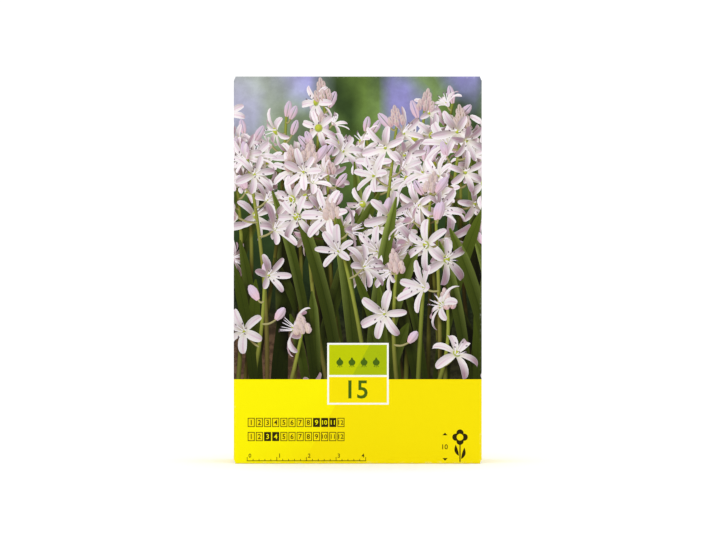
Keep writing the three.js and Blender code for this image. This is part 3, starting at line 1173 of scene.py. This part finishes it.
class Nodes:
    """Adds nodes to a tree. A value is a constant or another node's output. A colour has three parts."""

    def __init__(self, tree):
        self.tree = tree

    def add(self, kind, inputs=None, **settings):
        """A node with its settings made and its inputs set or linked."""
        made = self.tree.nodes.new(kind)
        for name, value in settings.items():
            setattr(made, name, value)
        for key, value in (inputs or {}).items():
            socket = made.inputs[key]
            if isinstance(value, bpy.types.NodeSocket):
                self.tree.links.new(value, socket)
            else:
                socket.default_value = (*value, 1.0) if socket.type == "RGBA" else value
        return made

    def first(self, kind, inputs=None, **settings):
        """The first output of a new node."""
        return self.add(kind, inputs, **settings).outputs[0]

    def math(self, operation, *values, **settings):
        return self.first("ShaderNodeMath", dict(enumerate(values)), operation=operation, **settings)

    def chain(self, operation, value, *others):
        """An operation that takes in several values, one after another."""
        for other in others:
            value = self.math(operation, value, other)
        return value

    def times(self, *values):
        return self.chain("MULTIPLY", *values)

    def plus(self, *values):
        return self.chain("ADD", *values)

    def ramp(self, value, low, high, start=0.0, end=1.0):
        inputs = {0: value, 1: low, 2: high, 3: start, 4: end}
        return self.first("ShaderNodeMapRange", inputs, interpolation_type="SMOOTHSTEP")

    def blend(self, share, first, second, way="MIX"):
        inputs = {0: share, 6: first, 7: second}
        settings = {"data_type": "RGBA", "blend_type": way, "clamp_factor": True}
        return self.add("ShaderNodeMix", inputs, **settings).outputs[2]

    def noise(self, vector, scale, detail=2.0, roughness=0.5):
        inputs = {"Vector": vector, "Scale": scale, "Detail": detail, "Roughness": roughness}
        return self.first("ShaderNodeTexNoise", inputs)

    def curve(self, value, points):
        """A smooth curve through points between 0 and 1."""
        made = self.add("ShaderNodeFloatCurve", {"Value": value})
        line = made.mapping.curves[0]
        for place in points[1:-1]:
            line.points.new(*place)
        for point, place in zip(line.points, points):
            point.location = place
        made.mapping.update()
        return made.outputs[0]

    def parts(self, vector):
        return self.add("ShaderNodeSeparateXYZ", {0: vector}).outputs

    def vector(self, x, y, z):
        return self.first("ShaderNodeCombineXYZ", {0: x, 1: y, 2: z})

    def object_place(self):
        return self.add("ShaderNodeTexCoord").outputs["Object"]

    def attribute(self, name, output):
        return self.add("ShaderNodeAttribute", attribute_name=name).outputs[output]


def new_group(name, kind, inputs, outputs):
    """A node group with its named sockets. Each input has a kind and a value, and each output a kind."""
    group = bpy.data.node_groups.new(name, kind)
    for label, (sort, value) in inputs.items():
        socket = group.interface.new_socket(label, in_out="INPUT", socket_type="NodeSocket" + sort)
        if value is not None:
            socket.default_value = value
    for label, sort in outputs.items():
        group.interface.new_socket(label, in_out="OUTPUT", socket_type="NodeSocket" + sort)
    nodes = Nodes(group)
    return nodes, nodes.add("NodeGroupInput").outputs


def new_material(name):
    material = bpy.data.materials.new(name)
    material.use_nodes = True
    material.node_tree.nodes.clear()
    return material, Nodes(material.node_tree)


def add_surface(nodes, colour, rough, specular, grain=None, strength=0.0, distance=0.0):
    """A material's surface, with a bump where it has a grain."""
    inputs = {"Base Color": colour, "Roughness": rough, "Specular IOR Level": specular}
    if grain is not None:
        bump = {"Height": grain, "Strength": strength, "Distance": distance}
        inputs["Normal"] = nodes.first("ShaderNodeBump", bump)
    surface = nodes.add("ShaderNodeBsdfPrincipled", inputs)
    nodes.add("ShaderNodeOutputMaterial", {"Surface": surface.outputs[0]})


def edge_wear_group():
    """A mask of rubbed print along the carton's folds and corners, broken up by noise."""
    nodes, given = new_group("edge_wear", "ShaderNodeTree", {"Amount": ("Float", 0.5)}, {"Mask": "Float"})
    place = nodes.object_place()
    limits = []
    halves = (HALF_WIDTH, HALF_DEPTH, HEIGHT / 2)
    for part, middle, half in zip(nodes.parts(place), (0, 0, HEIGHT / 2), halves):
        away = nodes.math("ABSOLUTE", nodes.math("SUBTRACT", part, middle * MM))
        limits.append(nodes.ramp(away, (half - 1.15) * MM, (half - 0.2) * MM))
    x, y, z = limits
    edge = nodes.chain("MAXIMUM", nodes.times(x, y), nodes.times(y, z), nodes.times(x, z))
    rough = nodes.ramp(nodes.noise(place, 900.0, 4.0, 0.7), 0.5, 0.72)
    spread = nodes.ramp(nodes.noise(place, 60.0, 2.0), 0.4, 0.7, 0.15, 1.0)
    mask = nodes.math("MULTIPLY", nodes.times(edge, rough, spread), given["Amount"], use_clamp=True)
    nodes.add("NodeGroupOutput", {"Mask": mask})
    return nodes.tree


def print_finish_group(wear):
    """Varnished ink: its colour with rubbed edges, its gloss and its faint paper grain."""
    inputs = {"Ink": ("Color", (1, 1, 1, 1)), "Gloss": ("Float", 0.36)}
    outputs = {"Color": "Color", "Roughness": "Float", "Height": "Float"}
    nodes, given = new_group("print_finish", "ShaderNodeTree", inputs, outputs)
    place = nodes.object_place()
    rubbed = nodes.add("ShaderNodeGroup", {"Amount": 0.55}, node_tree=wear).outputs["Mask"]
    shift = nodes.ramp(nodes.noise(place, PRINT_GRAIN, 1.0), 0.2, 0.8, INK_STRENGTH * 0.985, INK_STRENGTH)
    toned = nodes.first("ShaderNodeVectorMath", {0: given["Ink"], 3: shift}, operation="SCALE")
    smear = nodes.ramp(nodes.noise(place, 38.0, 3.0), 0.3, 0.7, -0.03, 0.04)
    finish = {
        "Color": nodes.blend(rubbed, toned, PAPER * INK_STRENGTH),
        "Roughness": nodes.math("MULTIPLY_ADD", rubbed, 0.3, nodes.plus(given["Gloss"], smear)),
        "Height": nodes.noise(place, 1400.0, 3.0, 0.6),
    }
    nodes.add("NodeGroupOutput", finish)
    return nodes.tree


def print_places(nodes):
    """The places across and along the printed shapes: as one vector, and apart."""
    places = nodes.first("ShaderNodeUVMap", uv_map=PRINT_MAP)
    return places, *nodes.parts(places)[:2]


def paper_ink(nodes):
    return PAPER


def flat_ink(nodes):
    return nodes.attribute(TINT, "Color")


def petal_ink(nodes):
    """Fine veins along the petal, a warmer midline and a paler rim."""
    _, across, along = print_places(nodes)
    reach = nodes.math("ABSOLUTE", across)
    midline = nodes.times(nodes.ramp(reach, 0.02, 0.3, 1.0, 0.0), nodes.ramp(along, 0.0, 1.0, 0.25, 0.75))
    tinted = nodes.blend(midline, flat_ink(nodes), (0.84, 0.62, 0.78), "MULTIPLY")
    veins = nodes.ramp(nodes.math("SINE", nodes.times(across, 17.0)), 0.3, 1.0, 0.0, 0.22)
    veined = nodes.blend(veins, tinted, (0.78, 0.66, 0.80), "MULTIPLY")
    return nodes.blend(nodes.ramp(reach, 0.72, 1.0, 0.0, 0.25), veined, (0.97, 0.95, 0.98))


def leaf_ink(nodes):
    """Close parallel veins and a groove down the middle."""
    across = print_places(nodes)[1]
    veins = nodes.ramp(nodes.math("SINE", nodes.times(across, 22.0)), -0.2, 1.0, 0.0, 0.3)
    veined = nodes.blend(veins, flat_ink(nodes), (0.62, 0.70, 0.50), "MULTIPLY")
    groove = nodes.ramp(nodes.math("ABSOLUTE", across), 0.0, 0.14, 0.5, 0.0)
    return nodes.blend(groove, veined, (0.5, 0.6, 0.4), "MULTIPLY")


def stem_ink(nodes):
    """A round stem: bright left of its middle and dark at both sides."""
    off = nodes.math("ABSOLUTE", nodes.plus(print_places(nodes)[1], 0.25))
    return nodes.blend(nodes.ramp(off, 0.1, 1.25, 0.0, 0.8), flat_ink(nodes), (0.30, 0.36, 0.18), "MULTIPLY")


def backdrop_ink(nodes):
    """Soft blots of light and shade, far out of focus, and crumbs on the ground below."""
    places, _, height = print_places(nodes)
    light = nodes.ramp(nodes.noise(places, 0.075, 1.0), 0.45, 0.75, 0.0, 0.5)
    lit = nodes.blend(light, flat_ink(nodes), (1.9, 1.9, 2.1), "MULTIPLY")
    crumbs = nodes.ramp(nodes.noise(places, 0.34, 4.0, 0.65), 0.42, 0.6, 1.0, 0.0)
    speckled = nodes.times(crumbs, nodes.ramp(height, 50.0, 74.0, 0.75, 0.12))
    return nodes.blend(speckled, lit, (0.3, 0.28, 0.26), "MULTIPLY")


def printed_ink(name, ink_of, finish):
    """A varnished material whose ink is what ink_of adds to its tree."""
    material, nodes = new_material("ink_" + name)
    coat = nodes.add("ShaderNodeGroup", {"Ink": ink_of(nodes)}, node_tree=finish).outputs
    add_surface(nodes, coat["Color"], coat["Roughness"], 0.04, coat["Height"], 0.05, 0.00005)
    return material


def bare_board(name, tint, fleck, rough):
    """Unprinted board with a fibrous surface."""
    material, nodes = new_material(name)
    fibres = nodes.noise(nodes.object_place(), BOARD_FIBRE, 4.0, 0.65)
    colour = nodes.blend(nodes.ramp(fibres, 0.4, 0.7), tint, fleck)
    add_surface(nodes, colour, rough, 0.2, fibres, 0.3, 0.00008)
    return material


def carton_materials():
    """The inks, in the order of INKS, and the board's bare inside and core."""
    finish = print_finish_group(edge_wear_group())
    makers = (paper_ink, flat_ink, backdrop_ink, petal_ink, leaf_ink, stem_ink)
    printed = [printed_ink(name, ink_of, finish) for name, ink_of in zip(INKS, makers)]
    inside = bare_board("board_inside", linear(206, 198, 184), linear(186, 176, 160), 0.85)
    core = bare_board("board_core", linear(240, 238, 230), linear(222, 218, 206), 0.9)
    return printed + [inside, core]


def make_carton():
    art = Artwork()
    Garden(art).grow()
    print_grounds(art)
    print_front(art)
    print_back(art)
    print_top(art)
    cut_vents(art)
    mesh = folded_board(Mosaic(art))
    for material in carton_materials():
        mesh.materials.append(material)
    carton = placed("carton_board", mesh)
    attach(carton, "root")
    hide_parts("carton")


# The bulbs

TUNIC_DARK = linear(112, 76, 50)
TUNIC_LIGHT = linear(176, 136, 98)
TUNIC_WARM = linear(140, 90, 64)
TUNIC_BARE = linear(228, 208, 178)
TUNIC_LIFT = 0.985
BARE = "bare"
BULB_SIDES = 64
BULB_RINGS = 48
BULB_TALL = 1.25
SAME_LEVEL = 1e-5
# Along the outline from the root plate to the nose: how far, the radius and the height, for a bulb 1 across
BULB_OUTLINE = [
    (0.0, 0.0, 0.05),
    (0.07, 0.14, 0.045),
    (0.11, 0.165, 0.01),
    (0.2, 0.265, 0.07),
    (0.36, 0.435, 0.25),
    (0.53, 0.492, 0.48),
    (0.7, 0.413, 0.76),
    (0.84, 0.216, 1.0),
    (0.96, 0.064, 1.195),
    (1.0, 0.0, 1.17),
]


def bulb_tree():
    """A bulb as Geometry Nodes: a turned skin with ribs and wrinkles, torn at the nose, and short roots."""
    inputs = {
        "Diameter": ("Float", 0.019),
        "Rib Depth": ("Float", 0.02),
        "Ribs": ("Int", 17),
        "Wrinkle Depth": ("Float", 0.05),
        "Roots": ("Int", 14),
        "Seed": ("Int", 1),
        "Skin": ("Material", None),
    }
    nodes, given = new_group("bulb", "GeometryNodeTree", inputs, {"Geometry": "Geometry"})
    size = given["Diameter"]
    counts = {"Size X": 1, "Size Y": 1, "Vertices X": BULB_SIDES + 1, "Vertices Y": BULB_RINGS}
    grid = nodes.add("GeometryNodeMeshGrid", counts).outputs["Mesh"]
    place = nodes.parts(nodes.first("GeometryNodeInputPosition"))
    turn = nodes.times(nodes.plus(place[0], 0.5), 2 * math.pi)
    along = nodes.plus(place[1], 0.5)
    ring = (nodes.math("COSINE", turn), nodes.math("SINE", turn))
    radius = nodes.curve(along, [(at, wide) for at, wide, _ in BULB_OUTLINE])
    height = nodes.times(nodes.curve(along, [(at, up / BULB_TALL) for at, _, up in BULB_OUTLINE]), BULB_TALL)
    belly = nodes.times(nodes.ramp(along, 0.08, 0.3), nodes.ramp(along, 0.8, 1.0, 1.0, 0.2))
    ribs = nodes.math("SINE", nodes.times(turn, given["Ribs"]))
    groove = nodes.times(nodes.math("MULTIPLY_ADD", ribs, 0.5, 0.5), given["Rib Depth"])
    spread = nodes.vector(*ring, nodes.times(along, 1.4))
    pattern = {"Vector": spread, "W": given["Seed"], "Scale": 3.2, "Detail": 4.0}
    wrinkles = nodes.first("ShaderNodeTexNoise", pattern, noise_dimensions="4D")
    ragged = nodes.math("MULTIPLY_ADD", wrinkles, 0.6, 0.52)
    bare = nodes.ramp(nodes.math("SUBTRACT", along, ragged), 0.0, 0.012)
    folds = nodes.times(wrinkles, given["Wrinkle Depth"])
    dip = nodes.plus(groove, folds, nodes.times(bare, 0.016))
    kept = nodes.math("SUBTRACT", TUNIC_LIFT, nodes.times(dip, belly))
    out = nodes.times(radius, kept, size)
    spot = nodes.vector(nodes.times(out, ring[0]), nodes.times(out, ring[1]), nodes.times(height, size))
    shape = grid
    for kind, values in (
        ("GeometryNodeStoreNamedAttribute", {"Name": BARE, "Value": bare}),
        ("GeometryNodeSetPosition", {"Position": spot}),
        ("GeometryNodeMergeByDistance", {"Distance": 1e-6}),
        ("GeometryNodeSetShadeSmooth", {}),
    ):
        shape = nodes.first(kind, {"Geometry": shape, **values})
    joined = nodes.add("GeometryNodeJoinGeometry", {0: shape})
    nodes.tree.links.new(root_ring(nodes, given), joined.inputs[0])
    real = nodes.first("GeometryNodeRealizeInstances", {"Geometry": joined.outputs[0]})
    dressed = nodes.first("GeometryNodeSetMaterial", {"Geometry": real, "Material": given["Skin"]})
    nodes.add("NodeGroupOutput", {"Geometry": dressed})
    return nodes.tree


def root_ring(nodes, given):
    """Short dry roots that lie curled under the root plate."""
    size, count, seed = given["Diameter"], given["Roots"], given["Seed"]
    plate = nodes.first("ShaderNodeVectorMath", {0: (0.0, 0.0, 0.024), 3: size}, operation="SCALE")
    ring = {"Vertices": count, "Radius": nodes.times(size, 0.085)}
    circle = nodes.first("GeometryNodeMeshCircle", ring)
    under = nodes.first("GeometryNodeSetPosition", {"Geometry": circle, "Offset": plate})
    bend = {"Start": (0, 0, 0.0002), "Middle": (0.0006, 0.0001, -0.0002), "End": (0.0011, 0.0004, 0)}
    line = nodes.first("GeometryNodeCurveQuadraticBezier", {"Resolution": 5, **bend})
    section = nodes.first("GeometryNodeCurvePrimitiveCircle", {"Resolution": 6, "Radius": 0.00013})
    root = {"Curve": line, "Profile Curve": section, "Fill Caps": True}
    root = nodes.first("GeometryNodeCurveToMesh", root)
    stray = nodes.add("FunctionNodeRandomValue", {"Seed": seed, 2: -0.5, 3: 0.5}).outputs[1]
    length = nodes.add("FunctionNodeRandomValue", {"Seed": seed, 2: 0.5, 3: 1.0}).outputs[1]
    step = nodes.math("DIVIDE", 2 * math.pi, count)
    yaw = nodes.plus(nodes.times(nodes.first("GeometryNodeInputIndex"), step), stray)
    roots = {"Points": under, "Instance": root, "Rotation": nodes.vector(0, 0, yaw), "Scale": length}
    return nodes.first("GeometryNodeInstanceOnPoints", roots)


def tunic_material():
    """Dry papery skin: brown with darker streaks from plate to nose, and paler where it is torn."""
    material, nodes = new_material("bulb_tunic")
    place = nodes.object_place()
    drawn = nodes.first("ShaderNodeMapping", {"Vector": place, "Scale": (1.0, 1.0, 0.12)})
    streaks = nodes.noise(drawn, TUNIC_STREAK, 4.0, 0.6)
    brown = nodes.blend(nodes.ramp(streaks, 0.35, 0.68), TUNIC_DARK, TUNIC_LIGHT)
    warmed = nodes.blend(nodes.ramp(nodes.noise(place, 170.0), 0.45, 0.7, 0.0, 0.7), brown, TUNIC_WARM)
    flesh = nodes.blend(nodes.ramp(streaks, 0.3, 0.8, 0.0, 0.6), TUNIC_BARE, TUNIC_LIGHT)
    colour = nodes.blend(nodes.attribute(BARE, "Fac"), warmed, flesh)
    rough = nodes.ramp(streaks, 0.3, 0.7, 0.72, 0.5)
    add_surface(nodes, colour, rough, 0.35, streaks, 0.5, 0.0002)
    return material


def nose_is_up(name):
    """The nose is the end whose outermost ring is the narrower."""
    low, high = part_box(name)
    middle = (low + high) / 2
    corners = [vert.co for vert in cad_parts[name].data.vertices]

    def ring_at(end):
        return max((spot.xy - middle.xy).length for spot in corners if abs(spot.z - end) < SAME_LEVEL)

    return ring_at(high.z) < ring_at(low.z)


def grown_bulb(tree, number, width, material):
    """The mesh that the bulb's tree makes, standing on its root plate at the origin."""
    sockets = {item.name: item.identifier for item in tree.interface.items_tree if item.in_out == "INPUT"}
    maker = placed("bulb_maker", bpy.data.meshes.new("bulb_maker"))
    growth = maker.modifiers.new("bulb", "NODES")
    growth.node_group = tree
    values = {"Diameter": width, "Ribs": 13 + number % 5, "Seed": 20 + number, "Skin": material}
    for label, value in values.items():
        growth[sockets[label]] = value
    mesh = bpy.data.meshes.new_from_object(maker.evaluated_get(bpy.context.evaluated_depsgraph_get()))
    bpy.data.objects.remove(maker)
    mesh.materials.clear()
    mesh.materials.append(material)
    return mesh


def make_bulbs():
    """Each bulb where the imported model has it, on its root plate or on its nose."""
    tree = bulb_tree()
    material = tunic_material()
    for number, name in enumerate(sorted(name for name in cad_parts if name.startswith("bulb_"))):
        low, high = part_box(name)
        mesh = grown_bulb(tree, number, float(high[0] - low[0]), material)
        up = nose_is_up(name)
        foot = ((low[0] + high[0]) / 2, (low[1] + high[1]) / 2, low[2] if up else high[2])
        tip = Matrix.Rotation(0 if up else math.pi, 4, "X")
        mesh.transform(Matrix.Translation(foot) @ Matrix.Rotation(number * 2.4, 4, "Z") @ tip)
        shape = bmesh.new()
        shape.from_mesh(mesh)
        bmesh.ops.recalc_face_normals(shape, faces=shape.faces)
        shape.to_mesh(mesh)
        shape.free()
        bulb = placed(name + "_skin", mesh)
        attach(bulb, "root")
        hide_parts(name)


# The studio

FLOOR_REACH = 60.0
FLOOR_SIDES = 64
FLOOR_WHITE = (0.96, 0.96, 0.96)
SURROUND = 1.1
# The photographed card in the 716 x 540 picture
PICTURE_WIDTH_PX = 716
PICTURE_HEIGHT_PX = 540
CARD_HEIGHT_PX = 387.4
CARD_LEFT_OF_MIDDLE = 0.0001
LENS = 150
SENSOR = 36


def make_floor():
    """A wide white floor."""
    mesh = bpy.data.meshes.new("studio_floor")
    turns = [2 * math.pi * i / FLOOR_SIDES for i in range(FLOOR_SIDES)]
    mesh.from_pydata([(*around(0, 0, FLOOR_REACH, turn), 0) for turn in turns], [], [range(FLOOR_SIDES)])
    material, nodes = new_material("studio_white")
    add_surface(nodes, FLOOR_WHITE, 1.0, 0.0)
    mesh.materials.append(material)
    floor = placed("studio_floor", mesh)


def make_softbox(name, place, size, power):
    """A square light that faces the middle of the carton."""
    light = bpy.data.lights.new(name, "AREA")
    light.shape = "SQUARE"
    light.size = size
    light.energy = power
    lamp = placed(name, light)
    lamp.location = place
    aim = Vector((0, 0, HEIGHT / 2 * MM)) - Vector(place)
    lamp.rotation_euler = aim.to_track_quat("-Z", "Y").to_euler()


def make_studio():
    """An even white surround, with softboxes at the left and right of the camera and overhead."""
    make_softbox("left_softbox", (-1.0, -1.1, 0.6), 0.9, 1.6)
    make_softbox("right_softbox", (1.0, -1.1, 0.5), 0.9, 1.2)
    make_softbox("top_softbox", (0, -0.1, 1.6), 1.2, 2.0)
    world = bpy.data.worlds.new("studio_white")
    bpy.context.scene.world = world
    world.use_nodes = True
    glow = world.node_tree.nodes["Background"]
    glow.inputs["Color"].default_value = (1, 1, 1, 1)
    glow.inputs["Strength"].default_value = SURROUND
    bpy.context.scene.view_settings.view_transform = "Standard"


def make_camera():
    """Square on to the front, from far enough off that the pack is seen without its sides."""
    tall = HEIGHT * MM * PICTURE_HEIGHT_PX / CARD_HEIGHT_PX
    away = tall * PICTURE_WIDTH_PX / PICTURE_HEIGHT_PX * LENS / SENSOR
    camera = placed("camera", bpy.data.cameras.new("camera"))
    camera.data.lens = LENS
    camera.data.sensor_width = SENSOR
    camera.location = (CARD_LEFT_OF_MIDDLE, -HALF_DEPTH * MM - away, HEIGHT / 2 * MM)
    camera.rotation_euler = (math.pi / 2, 0, 0)
    bpy.context.scene.camera = camera


make_carton()
make_bulbs()
make_floor()
make_studio()
make_camera()
